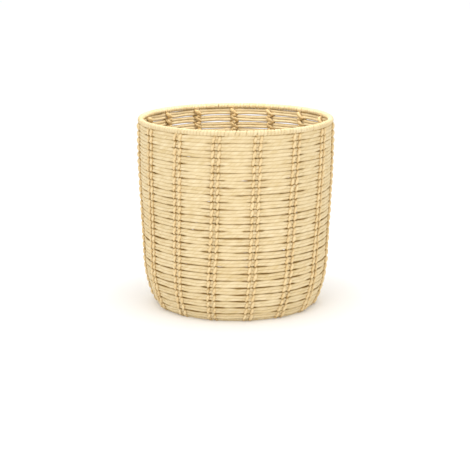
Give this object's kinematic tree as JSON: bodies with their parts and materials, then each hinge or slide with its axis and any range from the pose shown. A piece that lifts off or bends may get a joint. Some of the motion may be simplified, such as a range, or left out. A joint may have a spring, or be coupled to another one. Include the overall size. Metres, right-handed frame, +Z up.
{
  "type": "laundry basket",
  "caption": "Round open laundry basket: a wire frame of leaning stakes woven with level pairs of pale paper cord, lashed to each stake, with a cord-wrapped rim and a woven base.",
  "frame": {"origin": "centre of the underside, in the plane that the basket stands on", "axes": "+Z up along the basket's axis; -Y is the front; the first stake stands just clockwise of +X"},
  "size_m": [0.4024, 0.4022, 0.392],
  "materials": {
    "wall_cord": "matte twisted cord",
    "wrap_cord": "matte twisted cord",
    "base_cord": "matte twisted cord",
    "lashing_cord": "matte twisted cord",
    "frame_wire": "satin straw-coloured paint on steel wire"
  },
  "bodies": {
    "root": {"rim_wrap": "wrap_cord", "frame_rings": "frame_wire", "foot_wrap": "wrap_cord", "base_weave": "base_cord", "stake_01": "frame_wire", "stake_02": "frame_wire", "stake_03": "frame_wire", "stake_04": "frame_wire", "stake_05": "frame_wire", "stake_06": "frame_wire", "stake_07": "frame_wire", "stake_08": "frame_wire", "stake_09": "frame_wire", "stake_10": "frame_wire", "stake_11": "frame_wire", "stake_12": "frame_wire", "stake_13": "frame_wire", "stake_14": "frame_wire", "stake_15": "frame_wire", "lashing_01": "lashing_cord", "lashing_02": "lashing_cord", "lashing_03": "lashing_cord", "lashing_04": "lashing_cord", "lashing_05": "lashing_cord", "lashing_06": "lashing_cord", "lashing_07": "lashing_cord", "lashing_08": "lashing_cord", "lashing_09": "lashing_cord", "lashing_10": "lashing_cord", "lashing_11": "lashing_cord", "lashing_12": "lashing_cord", "lashing_13": "lashing_cord", "lashing_14": "lashing_cord", "lashing_15": "lashing_cord", "wall_course_01": "wall_cord", "wall_course_02": "wall_cord", "wall_course_03": "wall_cord", "wall_course_04": "wall_cord", "wall_course_05": "wall_cord", "wall_course_06": "wall_cord", "wall_course_07": "wall_cord", "wall_course_08": "wall_cord", "wall_course_09": "wall_cord", "wall_course_10": "wall_cord", "wall_course_11": "wall_cord", "wall_course_12": "wall_cord", "wall_course_13": "wall_cord", "wall_course_14": "wall_cord", "wall_course_15": "wall_cord", "wall_course_16": "wall_cord", "wall_course_17": "wall_cord", "wall_course_18": "wall_cord", "wall_course_19": "wall_cord", "wall_course_20": "wall_cord", "wall_course_21": "wall_cord", "wall_course_22": "wall_cord", "wall_course_23": "wall_cord", "wall_course_24": "wall_cord", "wall_course_25": "wall_cord", "wall_course_26": "wall_cord"}
  },
  "joints": []
}
